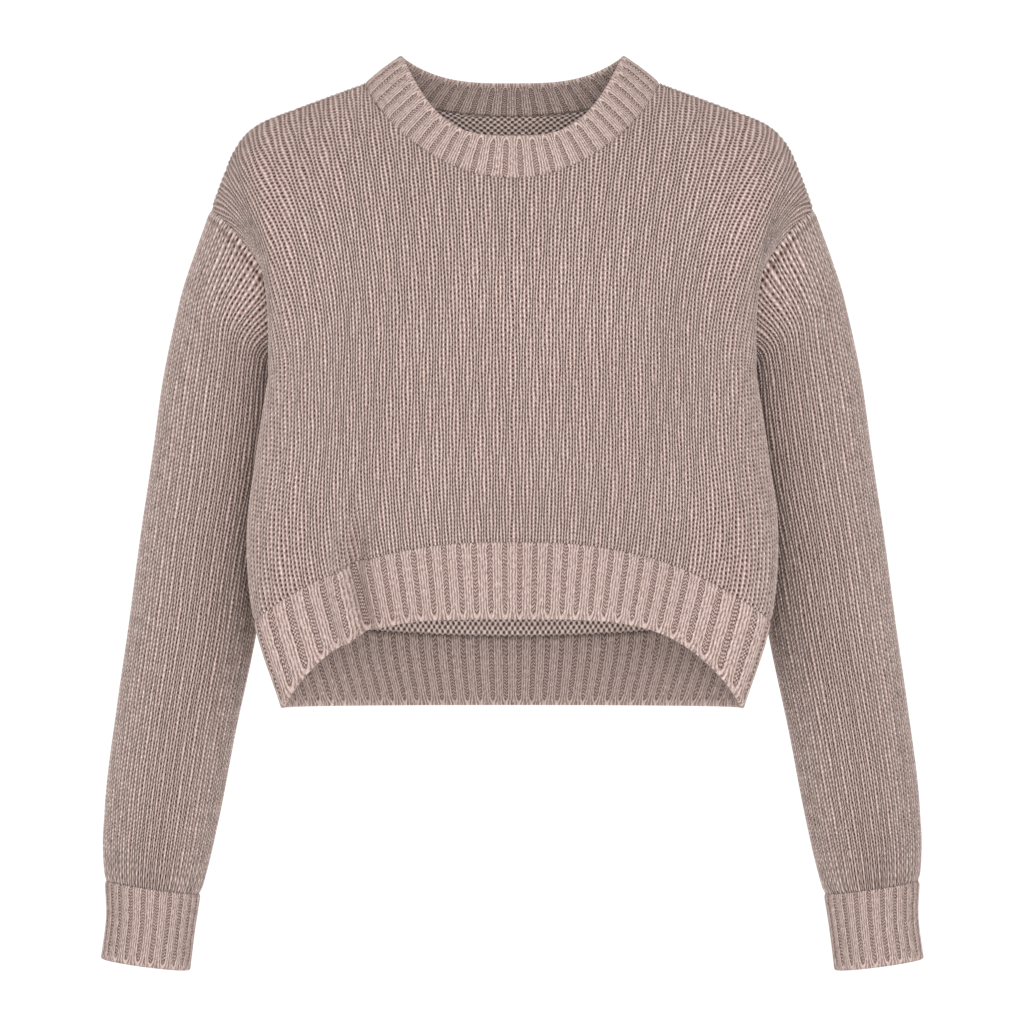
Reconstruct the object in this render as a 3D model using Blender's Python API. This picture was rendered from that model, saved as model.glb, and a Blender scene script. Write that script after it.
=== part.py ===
"""Cropped knit sweater, filled out as it is worn.

Nine knitted pieces, each one closed wall: front, back, two drop-shoulder sleeves, a ribbed
neckband, two ribbed hem borders and two ribbed cuffs.  The front faces -Y, +Z is up, and the
origin is the middle of the neck, level with the two high points of the shoulder seams.

Every piece is read from one form.  The body is a set of rings (BODY_RINGS), counted in knitted
courses down from the shoulder seam.  The yoke falls from the shoulder seam to the underarm ring.
The sleeve is a set of rings (SLEEVE_RINGS) that start at the armhole seam.
"""
import math

import bmesh
import bpy
import numpy as np

# ---------------------------------------------------------------- driving sizes, metres
GAP = 0.0005                    # between neighbouring pieces at a seam
KNIT_WALL = 0.0028              # stockinette
RIB_WALL = 0.0036               # ribbing

NECK_HALF_WIDTH = 0.106         # to the neckband seam
NECK_DROP_FRONT = 0.0715
NECK_DROP_BACK = 0.018
NECK_ROUND = 1.6                        # power of the neckline's curve; 1 is an ellipse
BAND_HALF_WIDTH = 0.0800        # the neckband's upper edge
BAND_FRONT_Y = -0.064
BAND_BACK_Y = 0.034
BAND_FRONT_Z = -0.040
BAND_SIDE_Z = 0.0160
BAND_BACK_Z = -0.001
BAND_ROUND = 3.1                        # power of its upper edge's curve
BAND_BULGE = 0.003

SHOULDER_LENGTH = 0.155
SHOULDER_SLOPE = math.radians(20)
SHOULDER_FALL = math.radians(69)        # over the shoulder point, down the arm
SHOULDER_TURN = (0.066, 0.122)          # the stretch of the seam that turns from one to the other
RIDGE_Y = 0.005                         # the seam's depth at the neck
TIP_Y = 0.016                           # and at the armhole

YOKE_COURSES = 66
RIB_TOP_COURSE = 114
HEM_COURSE = 131

# A ring for each level of the body, counted in courses below the shoulder seam.  The side seam
# lies at seam_angle, measured round the ring from the centre front.
RING_COLUMNS = ("course", "front_z", "side_z", "back_z", "half_width", "wide_y",
                "front_depth", "back_depth", "front_square", "back_square", "arch", "seam_angle")
BODY_RINGS = {
    "underarm": (66, -0.190, -0.213, -0.190, 0.1740, -0.048, 0.062, 0.120, 2.4, 2.0, 4.0, 117),
    "chest":    (81, -0.236, -0.268, -0.248, 0.1825, -0.048, 0.065, 0.120, 2.4, 2.0, 3.2, 111),
    "waist":    (98, -0.287, -0.328, -0.318, 0.1893, -0.046, 0.063, 0.116, 2.4, 2.1, 2.8, 106),
    "rib_top":  (114, -0.331, -0.387, -0.403, 0.1845, -0.042, 0.057, 0.110, 2.4, 2.2, 2.5, 104),
    "hem":      (131, -0.3845, -0.449, -0.452, 0.1655, -0.030, 0.062, 0.097, 2.4, 2.2, 4.0, 104),
}
SIDE_SPREAD = 0.60                      # stitches lie this much wider round the sides
SPREAD_ANGLES = (math.radians(30), math.radians(80))

# The yoke falls from the shoulder seam in rounds: powers of its reach and of its fall
YOKE_DRIFT = 3.0                        # sideways
YOKE_REACH = {"front": 1.7, "back": 0.9}
YOKE_FALL = {"front": 1.0, "back": 1.2}
ARMHOLE_BOW = 0.014                     # the front of the armhole bows in towards the neck
ARMHOLE_HALF_DEPTH = 0.044
ARMHOLE_LEAN = 0.35                     # its widest stretch lies above the middle
ARMHOLE_FOLD = (0.35, 0.70)             # below this stretch of the seam the cloth folds back
ARMHOLE_BLEND = 0.60                    # share of the shoulder where its pull begins

# A ring for each level of the sleeve, down the arm.
SLEEVE_COLUMNS = ("along", "x", "y", "z", "half_width", "half_depth", "tilt")
SLEEVE_RINGS = {
    "cap":      (0.10, 0.2006, 0.033, -0.186, 0.0500, 0.0485, 37.0),
    "biceps":   (0.21, 0.2070, 0.041, -0.233, 0.0505, 0.0465, 24.0),
    "upper":    (0.32, 0.2135, 0.045, -0.279, 0.0493, 0.0450, 17.0),
    "elbow":    (0.48, 0.2248, 0.050, -0.343, 0.0472, 0.0440, 10.0),
    "forearm":  (0.61, 0.2335, 0.050, -0.400, 0.0460, 0.0425, 10.0),
    "lower":    (0.74, 0.2438, 0.048, -0.458, 0.0440, 0.0410, 9.5),
    "wrist":    (0.91, 0.2555, 0.045, -0.534, 0.0410, 0.0385, 9.0),
    "gather":   (0.985, 0.2598, 0.043, -0.569, 0.0372, 0.0360, 8.0),
    "cuff_top": (1.0, 0.2610, 0.042, -0.582, 0.0350, 0.0340, 8.0),
}
CUFF_RINGS = {
    "top":    (0.0, 0.2610, 0.042, -0.582, 0.0350, 0.0340, 8.0),
    "mid":    (0.5, 0.2625, 0.041, -0.608, 0.0325, 0.0318, 8.0),
    "end":    (1.0, 0.2660, 0.040, -0.6365, 0.0325, 0.0318, 7.6),
}

# Soft folds of the front: where each runs (share of the panel, courses) and its height.
FOLD_COLUMNS = ("share", "drift", "start", "full", "width", "height")
FRONT_FOLDS = {
    "wearers_right": (-0.60, 0.03, 78, 120, 0.070, 0.0080),
    "wearers_left":  (0.66, 0.00, 60, 116, 0.130, 0.0030),
}

# Facets of each piece
NECK_COLUMNS = 6                # from the centre to the high shoulder point
SHOULDER_COLUMNS = 7            # from there to the armhole
YOKE_ROWS = 11
BODY_ROWS = 7
RIB_ROWS = 3
SLEEVE_ROWS = 16
CUFF_ROWS = 3
BAND_ROWS = 3


# ---------------------------------------------------------------- small tools
def smooth(value):
    """Ease from 0 to 1."""
    value = np.clip(value, 0.0, 1.0)
    return value * value * (3.0 - 2.0 * value)


def unit(vectors):
    length = np.linalg.norm(vectors, axis=-1, keepdims=True)
    return vectors / np.maximum(length, 1e-12)


def read_table(table, columns, place):
    """Read every column of a table at a place along its first column, as a smooth curve."""
    rows = np.array(list(table.values()), dtype=float)
    knots = rows[:, 0]
    slopes = np.gradient(rows, knots, axis=0)
    place = np.clip(place, knots[0], knots[-1])
    low = np.clip(np.searchsorted(knots, place, side="right") - 1, 0, len(knots) - 2)
    span = knots[low + 1] - knots[low]
    part = (place - knots[low]) / span
    value = ((1 + 2 * part) * (1 - part) ** 2 * rows[low]
             + part * (1 - part) ** 2 * span * slopes[low]
             + part ** 2 * (3 - 2 * part) * rows[low + 1]
             - part ** 2 * (1 - part) * span * slopes[low + 1])
    return dict(zip(columns, value))


# ---------------------------------------------------------------- the form of the body
def shoulder_seam(share):
    """Points of the shoulder seam's line; share 0 is the middle of the neck, 1 the armhole."""
    steps = np.linspace(0.0, SHOULDER_LENGTH, 240)
    turn = smooth((steps - SHOULDER_TURN[0]) / (SHOULDER_TURN[1] - SHOULDER_TURN[0]))
    angle = SHOULDER_SLOPE + (SHOULDER_FALL - SHOULDER_SLOPE) * turn
    step = steps[1]
    out = NECK_HALF_WIDTH + np.concatenate([[0.0], np.cumsum(np.cos(angle[1:]) * step)])
    down = -np.concatenate([[0.0], np.cumsum(np.sin(angle[1:]) * step)])
    length = np.abs(share) * (NECK_HALF_WIDTH + SHOULDER_LENGTH)
    beyond = length - NECK_HALF_WIDTH
    x = np.where(beyond < 0, length, np.interp(beyond, steps, out))
    z = np.where(beyond < 0, 0.0, np.interp(beyond, steps, down))
    y = RIDGE_Y + (TIP_Y - RIDGE_Y) * smooth(beyond / SHOULDER_LENGTH)
    return np.stack([np.sign(share) * x, y, z], axis=-1)


def ring_angles(ring, share, back):
    """Angle round the ring for each share of the panel, with the stitches evenly laid."""
    seam = math.radians(ring["seam_angle"])
    angles = np.linspace(math.pi, seam, 160) if back else np.linspace(0.0, seam, 160)
    points = ring_outline(ring, angles)[:, :2]
    step = np.linalg.norm(np.diff(points, axis=0), axis=1)
    middle = (angles[1:] + angles[:-1]) / 2
    turned = math.pi - middle if back else middle
    reach = SPREAD_ANGLES[1] - SPREAD_ANGLES[0]
    stitch = 1.0 + SIDE_SPREAD * smooth((turned - SPREAD_ANGLES[0]) / reach)
    travel = np.concatenate([[0.0], np.cumsum(step / stitch)])
    return np.interp(np.abs(share), travel / travel[-1], angles)


def ring_outline(ring, angle):
    """Points of one half ring in plan and height; angle 0 is centre front, pi centre back."""
    ahead = angle <= math.pi / 2
    power = 2.0 / np.where(ahead, ring["front_square"], ring["back_square"])
    sine = np.maximum(np.sin(angle), 0.0) ** power
    cosine = np.abs(np.cos(angle)) ** power
    x = ring["half_width"] * sine
    y = ring["wide_y"] + np.where(ahead, -ring["front_depth"], ring["back_depth"]) * cosine
    seam = math.radians(ring["seam_angle"])
    seam_sine = math.sin(seam) ** (2.0 / ring["back_square"])
    rise = np.where(ahead, sine, 1.0) ** ring["arch"]
    fall = np.minimum(sine / seam_sine, 1.0) ** 2
    z_front = ring["front_z"] + (ring["side_z"] - ring["front_z"]) * rise
    z_back = ring["back_z"] + (ring["side_z"] - ring["back_z"]) * fall
    return np.stack([x, y, np.where(angle <= seam + 1e-9, z_front, z_back)], axis=-1)


def body_row(share, course, back):
    """One row of the body below the underarm."""
    ring = read_table(BODY_RINGS, RING_COLUMNS, course)
    points = ring_outline(ring, ring_angles(ring, share, back))
    points[:, 0] *= np.sign(share)
    return points


def armhole_seam(part, back):
    """Armhole seam from the shoulder (0) to the underarm (1), down the front or the back."""
    tip = shoulder_seam(np.array([1.0]))[0]
    under = body_row(np.array([1.0]), YOKE_COURSES, False)[0]
    angle = np.asarray(part) * math.pi
    middle = (tip + under) / 2
    radius = (tip - under) / 2
    along_arm = unit(np.array([radius[2], 0.0, -radius[0]]))
    across = np.array([0.0, 1.0 if back else -1.0, 0.0])
    reach = ARMHOLE_HALF_DEPTH * np.sin(angle) * (1.0 + ARMHOLE_LEAN * np.cos(angle))
    return (middle + np.cos(angle)[:, None] * radius + reach[:, None] * across
            - (ARMHOLE_BOW * np.sin(angle) ** 2)[:, None] * along_arm)


def armhole_normal(part, back, folded):
    """Direction out of the cloth along the armhole seam.

    Over the top of the arm the panel and the sleeve run on into each other and share it.
    Towards the underarm they fold back to back, and each turns to its own direction, folded.
    """
    angle = part * math.pi
    over_arm = np.array([math.sin(SHOULDER_FALL), 0.0, math.cos(SHOULDER_FALL)])
    across = np.array([0.35, 0.94 if back else -0.94, 0.0])
    turned = np.minimum(angle, math.pi / 2)
    shared = np.cos(turned)[:, None] * over_arm + np.sin(turned)[:, None] * across
    fold = smooth((part - ARMHOLE_FOLD[0]) / (ARMHOLE_FOLD[1] - ARMHOLE_FOLD[0]))[:, None]
    return unit(unit(shared) * (1.0 - fold) + folded * fold)


def yoke_curve(start, end, heading, angle, back):
    """One wale of the yoke: level at the shoulder seam, along heading where the body begins."""
    face = "back" if back else "front"
    reach = np.sin(angle) ** YOKE_REACH[face]
    drift = np.sin(angle) ** YOKE_DRIFT
    fall = (1.0 - np.cos(angle)) ** YOKE_FALL[face]
    base = start + (end - start) * np.stack([drift, reach, fall], axis=-1)
    part = (angle / (math.pi / 2))[:, None]
    arrival = np.linalg.norm(end - start) * (heading - np.array([0.0, 0.0, -1.0]))
    return base + arrival * part ** 2 * (part - 1.0)


def evenly(line, part):
    """Points at the given parts of a line's length."""
    step = np.linalg.norm(np.diff(line, axis=0), axis=1)
    travel = np.concatenate([[0.0], np.cumsum(step)])
    place = part * travel[-1]
    return np.stack([np.interp(place, travel, line[:, axis]) for axis in range(3)], axis=-1)


def yoke(share, part, back):
    """Points of one wale of the yoke; part 0 is the shoulder seam, 1 the underarm row."""
    side = -1.0 if share < 0 else 1.0
    angles = np.linspace(0.0, math.pi / 2, 60)
    lines = []
    for place in (share, side):
        wale = np.array([place])
        start = shoulder_seam(wale)[0]
        end = body_row(wale, YOKE_COURSES, back)[0]
        heading = unit(body_row(wale, YOKE_COURSES + 1, back)[0] - end)
        lines.append(evenly(yoke_curve(start, end, heading, angles, back), part))
    seam = armhole_seam(part, back) * np.array([side, 1.0, 1.0])
    pull = smooth((abs(share) - ARMHOLE_BLEND) / (1.0 - ARMHOLE_BLEND))
    return lines[0] + pull * (seam - lines[1])


def side_normal(course):
    """Direction out of the cloth at the side seam, for the side at +X."""
    ring = read_table(BODY_RINGS, RING_COLUMNS, course)
    seam = math.radians(ring["seam_angle"])
    near, far = ring_outline(ring, np.array([seam - 0.02, seam + 0.02]))[:, :2]
    return unit(np.array([far[1] - near[1], near[0] - far[0], 0.0]))


def fold_height(share, course):
    """How far the soft folds lift the front panel out of its form."""
    height = 0.0
    for row in FRONT_FOLDS.values():
        fold = dict(zip(FOLD_COLUMNS, row))
        grow = smooth((course - fold["start"]) / (fold["full"] - fold["start"]))
        offset = (share - fold["share"] - fold["drift"] * grow) / fold["width"]
        side = -np.sign(fold["share"])
        height = height - fold["height"] * grow * side * 1.6 * offset * np.exp(-offset ** 2)
    return height


# ---------------------------------------------------------------- walls
def slope_along(points, axis, around):
    """Change from point to point along a row (axis 1) or a column (axis 0) of a grid."""
    if around:
        return np.roll(points, -1, axis=axis) - np.roll(points, 1, axis=axis)
    return np.gradient(points, axis=axis)


def surface_normals(points, around):
    """Directions square to a grid; out of it where its columns run left to right in front."""
    return unit(np.cross(slope_along(points, 0, False), slope_along(points, 1, around)))


def into_piece(edge, inner, around=False):
    """Directions from an edge towards the next line of points, square to the edge."""
    inward = inner - edge
    tangent = unit(slope_along(edge, 0, around))
    return unit(inward - np.sum(inward * tangent, axis=-1, keepdims=True) * tangent)


def half_gap_at_top(outer, inner, around=False):
    """Move the first row of both grids half a seam gap into their own piece."""
    step = into_piece(outer[0], outer[1], around) * GAP / 2
    outer[0] += step
    inner[0] += step


def half_gap_at_sides(outer, inner):
    """The same for the first and the last column."""
    for end, beside in ((0, 1), (-1, -2)):
        step = into_piece(outer[:, end], outer[:, beside]) * GAP / 2
        outer[:, end] += step
        inner[:, end] += step


def split_at_rib(outer, normals, row, around=False):
    """Cut a grid into knit above a row and rib below it: (outer, inner) grids of each."""
    step = into_piece(outer[row - 1], outer[row + 1], around) * GAP / 2
    knit_outer = outer[:row + 1].copy()
    knit_inner = knit_outer - normals[:row + 1] * KNIT_WALL
    rib_outer = outer[row:].copy()
    rib_inner = rib_outer - normals[row:] * RIB_WALL
    for grid in (knit_outer, knit_inner):
        grid[-1] -= step
    for grid in (rib_outer, rib_inner):
        grid[0] += step
    return (knit_outer, knit_inner), (rib_outer, rib_inner)


def wall_object(name, outer, inner, around, finish):
    """One closed wall between an outer and an inner grid of points."""
    rows, columns = outer.shape[:2]
    vertices = np.concatenate([outer.reshape(-1, 3), inner.reshape(-1, 3)])
    layer = rows * columns
    faces = []
    spans = columns if around else columns - 1
    for row in range(rows - 1):
        for column in range(spans):
            right = (column + 1) % columns
            corner = (row * columns + column, row * columns + right,
                      (row + 1) * columns + right, (row + 1) * columns + column)
            faces.append(corner)
            faces.append(tuple(layer + index for index in reversed(corner)))
    border = [(column, (column + 1) % columns) for column in range(spans)]
    border += [(b + layer - columns, a + layer - columns) for a, b in border]
    if not around:
        for row in range(rows - 1):
            border.append(((row + 1) * columns, row * columns))
            border.append((row * columns + columns - 1, (row + 2) * columns - 1))
    for a, b in border:
        faces.append((b, a, a + layer, b + layer))
    mesh = bpy.data.meshes.new(name)
    mesh.from_pydata([tuple(point) for point in vertices], [], faces)
    mesh.validate()
    body = bmesh.new()
    body.from_mesh(mesh)
    bmesh.ops.triangulate(body, faces=body.faces, quad_method="SHORT_EDGE")
    bmesh.ops.recalc_face_normals(body, faces=body.faces)
    body.to_mesh(mesh)
    body.free()
    mesh.shade_smooth()
    mesh.materials.append(finish)
    piece = bpy.data.objects.new(name, mesh)
    sweater.objects.link(piece)
    return piece


def mirrored(points):
    """The other side's grid, its columns turned round so that it still faces out."""
    return points[:, ::-1] * np.array([-1.0, 1.0, 1.0])


# ---------------------------------------------------------------- pieces
def neckline_column(angle, back):
    """Share of the panel and part of the yoke where the neckline crosses at this angle."""
    drop = NECK_DROP_BACK if back else NECK_DROP_FRONT
    want_x = NECK_HALF_WIDTH * math.sin(angle)
    want_z = -drop * math.cos(angle) ** NECK_ROUND
    share = want_x / (NECK_HALF_WIDTH + SHOULDER_LENGTH)
    parts = np.linspace(0.0, 0.8, 240)
    for _ in range(4):
        line = yoke(share, parts, back)
        part = float(np.interp(-want_z, -line[:, 2], parts))
        here_x = float(np.interp(part, parts, line[:, 0]))
        if here_x > 1e-6:
            share *= want_x / here_x
    return share, part


def panel_columns(back):
    """Shares and starting parts of the panel's columns, from one armhole to the other."""
    half = [neckline_column(math.pi / 2 * step / NECK_COLUMNS, back)
            for step in range(NECK_COLUMNS)]
    high_point = NECK_HALF_WIDTH / (NECK_HALF_WIDTH + SHOULDER_LENGTH)
    shoulder = np.linspace(high_point, 1.0, SHOULDER_COLUMNS + 1)
    half += [(share, 0.0) for share in shoulder]
    return [(-share, start) for share, start in half[:0:-1]] + half


def body_grid(back):
    """Outer and inner points of the front or the back, from the top edge down to the hem."""
    columns = panel_columns(back)
    shares = np.array([share for share, start in columns])
    spread = np.linspace(0.0, 1.0, YOKE_ROWS + 1)
    yoke_columns = []
    part_rows = []
    for share, start in columns:
        parts = start + (1.0 - start) * spread
        part_rows.append(parts)
        yoke_columns.append(yoke(share, parts, back))
    rows = list(np.stack(yoke_columns, axis=1))
    courses = list(np.stack(part_rows, axis=1) * YOKE_COURSES)
    panel_courses = np.linspace(YOKE_COURSES, RIB_TOP_COURSE, BODY_ROWS + 1)[1:]
    rib_courses = np.linspace(RIB_TOP_COURSE, HEM_COURSE, RIB_ROWS + 1)[1:]
    for course in (*panel_courses, *rib_courses):
        rows.append(body_row(shares, course, back))
        courses.append(np.full(len(shares), course))
    points = np.stack(rows)
    normals = surface_normals(points, False) * (-1.0 if back else 1.0)
    side_courses = (*panel_courses, *rib_courses)
    armhole = armhole_normal(spread, back, side_normal(YOKE_COURSES))
    edge = np.concatenate([armhole, [side_normal(course) for course in side_courses]])
    normals[:, -1] = edge
    normals[:, 0] = edge * np.array([-1.0, 1.0, 1.0])
    seam_line = shoulder_seam(shares)
    along = np.gradient(seam_line, axis=0)
    upright = unit(np.cross(np.array([0.0, 1.0, 0.0]), along) * -1.0)
    on_shoulder = np.array([start == 0.0 for share, start in columns])
    normals[0, on_shoulder] = upright[on_shoulder]
    if not back:
        lift = fold_height(shares[None, :], np.stack(courses))
        points = points + normals * lift[..., None]
    return points, normals


def make_body(back, knit, ribbing):
    """Front or back panel and its ribbed border, cut from one grid; returns its seam edges."""
    outer, normals = body_grid(back)
    inner = outer - normals * KNIT_WALL
    neck = slice(SHOULDER_COLUMNS, SHOULDER_COLUMNS + 2 * NECK_COLUMNS + 1)
    edges = (outer[0, neck].copy(), inner[0, neck].copy(), outer[:YOKE_ROWS + 1, -1].copy())
    panel, border = split_at_rib(outer, normals, YOKE_ROWS + BODY_ROWS)
    half_gap_at_top(*panel)
    half_gap_at_sides(*panel)
    half_gap_at_sides(*border)
    wall_object("back" if back else "front", *panel, False, knit)
    wall_object("hem_rib_back" if back else "hem_rib_front", *border, False, ribbing)
    return edges


def sleeve_ring(ring, around):
    """One ring of the sleeve; angle 0 is the outer side, a quarter turn on is the front."""
    tilt = math.radians(ring["tilt"])
    outward = np.array([math.cos(tilt), 0.0, math.sin(tilt)])
    forward = np.array([0.0, -1.0, 0.0])
    middle = np.array([ring["x"], ring["y"], ring["z"]])
    return (middle + ring["half_width"] * np.cos(around)[:, None] * outward
            + ring["half_depth"] * np.sin(around)[:, None] * forward)


def sleeve_grid(head):
    """Rings from the armhole seam down to the top of the cuff, then down the cuff."""
    around = np.linspace(0.0, 2 * math.pi, len(head), endpoint=False)
    first = list(SLEEVE_RINGS.values())[0][0]
    rows = []
    for along in np.linspace(0.0, 1.0, SLEEVE_ROWS + 1):
        row = sleeve_ring(read_table(SLEEVE_RINGS, SLEEVE_COLUMNS, max(along, first)), around)
        if along < first:
            row = head + (row - head) * along / first
        rows.append(row)
    for along in np.linspace(0.0, 1.0, CUFF_ROWS + 1)[1:]:
        rows.append(sleeve_ring(read_table(CUFF_RINGS, SLEEVE_COLUMNS, along), around))
    return np.stack(rows)


def make_sleeve(side, front_armhole, back_armhole, knit, ribbing):
    """Sleeve and cuff of one side, its head on the armhole edges of the front and the back."""
    head = np.concatenate([front_armhole, back_armhole[-2:0:-1]])
    outer = sleeve_grid(head)
    normals = -surface_normals(outer, True)
    part = np.linspace(0.0, 1.0, len(front_armhole))
    front_half = slice(0, len(part))
    back_half = np.arange(len(head), len(part) - 2, -1) % len(head)
    normals[0, front_half] = armhole_normal(part, False, normals[0, front_half])
    normals[0, back_half] = armhole_normal(part, True, normals[0, back_half])
    tube, cuff = split_at_rib(outer, normals, SLEEVE_ROWS, True)
    half_gap_at_top(*tube, True)
    for kind, grids, finish in (("sleeve", tube, knit), ("cuff", cuff, ribbing)):
        if side == "right":
            grids = [mirrored(grid) for grid in grids]
        wall_object(f"{kind}_{side}", *grids, True, finish)


def make_neckband(front_neck, back_neck, ribbing):
    """Ribbed band on the neckline, leaning in and curling a little at its upper edge."""
    seam_outer = np.concatenate([front_neck[0], back_neck[0][-2:0:-1]])
    seam_inner = np.concatenate([front_neck[1], back_neck[1][-2:0:-1]])
    count = len(seam_outer)
    around = np.linspace(-math.pi / 2, 1.5 * math.pi, count, endpoint=False)
    ahead = np.cos(around) >= 0
    sine = np.sin(around)
    cosine = np.abs(np.cos(around))
    x = BAND_HALF_WIDTH * sine
    end_y = np.where(ahead, BAND_FRONT_Y, BAND_BACK_Y)
    y = RIDGE_Y + (end_y - RIDGE_Y) * cosine
    end_z = np.where(ahead, BAND_FRONT_Z, BAND_BACK_Z)
    z = BAND_SIDE_Z + (end_z - BAND_SIDE_Z) * (1.0 - np.abs(sine) ** BAND_ROUND)
    top = np.stack([x, y, z], axis=-1)
    wall = unit(seam_outer - seam_inner)
    leaning = unit(top - seam_outer)
    tangent = unit(np.roll(top, -1, axis=0) - np.roll(top, 1, axis=0))
    face = unit(np.cross(leaning, tangent))
    face *= np.sign(np.sum(face * wall, axis=1, keepdims=True))
    outer_rows = []
    inner_rows = []
    for part in np.linspace(0.0, 1.0, BAND_ROWS + 1):
        lift = BAND_BULGE * math.sin(math.pi * part)
        outside = seam_outer + (top - seam_outer) * part + face * lift
        direction = unit(wall + (face - wall) * part)
        outer_rows.append(outside)
        inner_rows.append(outside - direction * RIB_WALL)
    inner_rows[0] = seam_inner
    outer = np.stack(outer_rows)
    inner = np.stack(inner_rows)
    half_gap_at_top(outer, inner, True)
    wall_object("neckband", outer, inner, True, ribbing)


def knit_finish(name, colour, roughness):
    """Wool in one plain colour."""
    finish = bpy.data.materials.new(name)
    finish.use_nodes = True
    shader = finish.node_tree.nodes["Principled BSDF"]
    shader.inputs["Base Color"].default_value = (*colour, 1.0)
    shader.inputs["Roughness"].default_value = roughness
    shader.inputs["Metallic"].default_value = 0.0
    return finish


for old in list(bpy.data.objects):
    bpy.data.objects.remove(old)
sweater = bpy.data.collections.new("cropped_knit_sweater")
bpy.context.scene.collection.children.link(sweater)

stockinette = knit_finish("knit", (0.40, 0.30, 0.27), 0.95)
ribbed = knit_finish("rib", (0.40, 0.30, 0.27), 0.95)

front = make_body(False, stockinette, ribbed)
back = make_body(True, stockinette, ribbed)
for hand in ("left", "right"):
    make_sleeve(hand, front[2], back[2], stockinette, ribbed)
make_neckband(front[:2], back[:2], ribbed)
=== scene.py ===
"""Looks of a cropped knit sweater, filled out as it is worn.

Nine knitted pieces stand in for the nine plain walls of the frame.  Each is a thin closed shell
on the form that its wall has, with the relief of its stitches in the mesh: two legs to a wale in
stockinette, two raised wales and a sunk one in the ribbing.  The yarn itself, its plies, marl and
nap, is in the material, which reads the stitches from the map "stitches", counted in wales (or
ribs) across and in courses down.  The material also paints shade into the gaps between the
stitches and a highlight onto the crown of each leg.
"""
import math

import bpy
import numpy as np
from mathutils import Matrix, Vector


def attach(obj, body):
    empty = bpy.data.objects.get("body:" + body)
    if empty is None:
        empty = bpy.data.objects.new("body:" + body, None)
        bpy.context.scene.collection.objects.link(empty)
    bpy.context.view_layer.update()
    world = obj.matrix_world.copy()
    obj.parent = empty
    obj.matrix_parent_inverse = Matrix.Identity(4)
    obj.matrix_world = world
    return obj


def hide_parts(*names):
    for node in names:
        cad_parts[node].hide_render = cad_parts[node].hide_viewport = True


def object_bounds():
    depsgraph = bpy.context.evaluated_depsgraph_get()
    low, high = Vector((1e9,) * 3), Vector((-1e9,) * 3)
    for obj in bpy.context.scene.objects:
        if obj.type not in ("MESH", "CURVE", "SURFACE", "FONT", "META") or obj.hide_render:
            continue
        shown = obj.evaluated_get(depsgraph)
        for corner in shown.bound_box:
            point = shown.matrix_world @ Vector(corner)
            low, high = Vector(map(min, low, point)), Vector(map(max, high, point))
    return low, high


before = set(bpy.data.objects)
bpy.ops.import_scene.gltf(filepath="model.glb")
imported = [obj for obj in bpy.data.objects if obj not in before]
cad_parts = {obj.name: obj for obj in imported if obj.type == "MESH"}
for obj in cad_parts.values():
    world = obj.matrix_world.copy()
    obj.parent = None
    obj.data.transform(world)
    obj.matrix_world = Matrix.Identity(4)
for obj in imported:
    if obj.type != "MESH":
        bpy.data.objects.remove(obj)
CAD_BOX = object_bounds()

# ---------------------------------------------------------------- the form, metres
NECK_HALF_WIDTH = 0.106
NECK_DROP_FRONT = 0.0715
NECK_DROP_BACK = 0.0208
NECK_ROUND = 1.6
BAND_HALF_WIDTH = 0.0810
BAND_FRONT_Y = -0.064
BAND_BACK_Y = 0.034
BAND_FRONT_Z = -0.043
BAND_SIDE_Z = 0.0188
BAND_BACK_Z = 0.0004
BAND_ROUND = 3.1
BAND_BULGE = 0.0006

SHOULDER_LENGTH = 0.155
SHOULDER_SLOPE = math.radians(20)
SHOULDER_FALL = math.radians(69)
SHOULDER_TURN = (0.066, 0.122)
RIDGE_Y = 0.005
TIP_Y = 0.016

YOKE_COURSES = 66
RIB_TOP_COURSE = 114
HEM_COURSE = 131

RING_COLUMNS = ("course", "front_z", "side_z", "back_z", "half_width", "wide_y",
                "front_depth", "back_depth", "front_square", "back_square", "arch", "seam_angle")
BODY_RINGS = {
    "underarm": (66, -0.190, -0.213, -0.190, 0.1740, -0.048, 0.062, 0.120, 2.4, 2.0, 4.0, 117),
    "chest":    (81, -0.236, -0.268, -0.248, 0.1825, -0.048, 0.065, 0.120, 2.4, 2.0, 3.2, 111),
    "waist":    (98, -0.287, -0.328, -0.318, 0.1893, -0.046, 0.063, 0.116, 2.4, 2.1, 2.8, 106),
    "rib_top":  (114, -0.331, -0.387, -0.4005, 0.1845, -0.042, 0.057, 0.110, 2.4, 2.2, 2.5, 104),
    "hem":      (131, -0.3845, -0.449, -0.4492, 0.1655, -0.030, 0.062, 0.097, 2.4, 2.2, 4.0, 104),
}
SIDE_SPREAD = 0.60
SPREAD_ANGLES = (math.radians(30), math.radians(80))

YOKE_DRIFT = 3.0
YOKE_REACH = {"front": 1.7, "back": 0.9}
YOKE_FALL = {"front": 1.0, "back": 1.2}
ARMHOLE_BOW = 0.014
ARMHOLE_HALF_DEPTH = 0.044
ARMHOLE_LEAN = 0.35
ARMHOLE_BLEND = 0.60

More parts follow.
